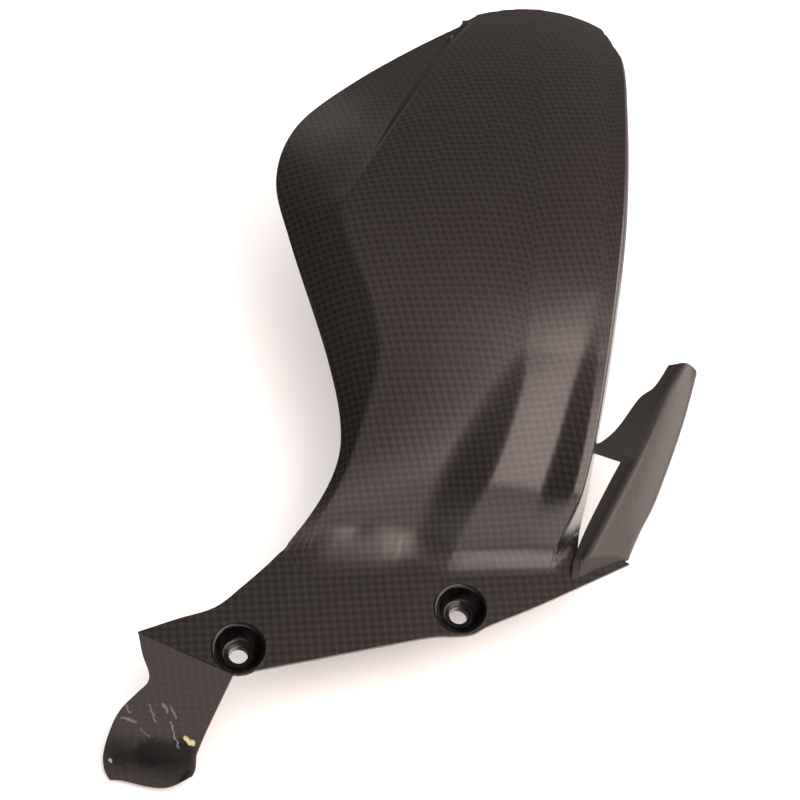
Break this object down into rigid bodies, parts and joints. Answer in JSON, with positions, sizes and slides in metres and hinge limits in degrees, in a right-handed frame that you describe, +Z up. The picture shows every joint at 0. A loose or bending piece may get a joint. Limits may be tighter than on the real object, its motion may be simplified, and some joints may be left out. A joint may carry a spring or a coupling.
{
  "type": "motorcycle rear fender",
  "caption": "Rear wheel fender moulded in one piece with its mounting flange, recessed bolt wells, side tab and chain guard.",
  "frame": {"origin": "centre of the left bolt bore, on the seat under its well", "axes": "+Z up along the bolts, +Y rearward over the wheel, +X across to the chain side"},
  "size_m": [0.2658, 0.4428, 0.1063],
  "materials": {
    "carbon_laminate": "clear-coated plain-weave carbon-fibre laminate"
  },
  "bodies": {
    "root": {"fender": "carbon_laminate"}
  },
  "joints": []
}
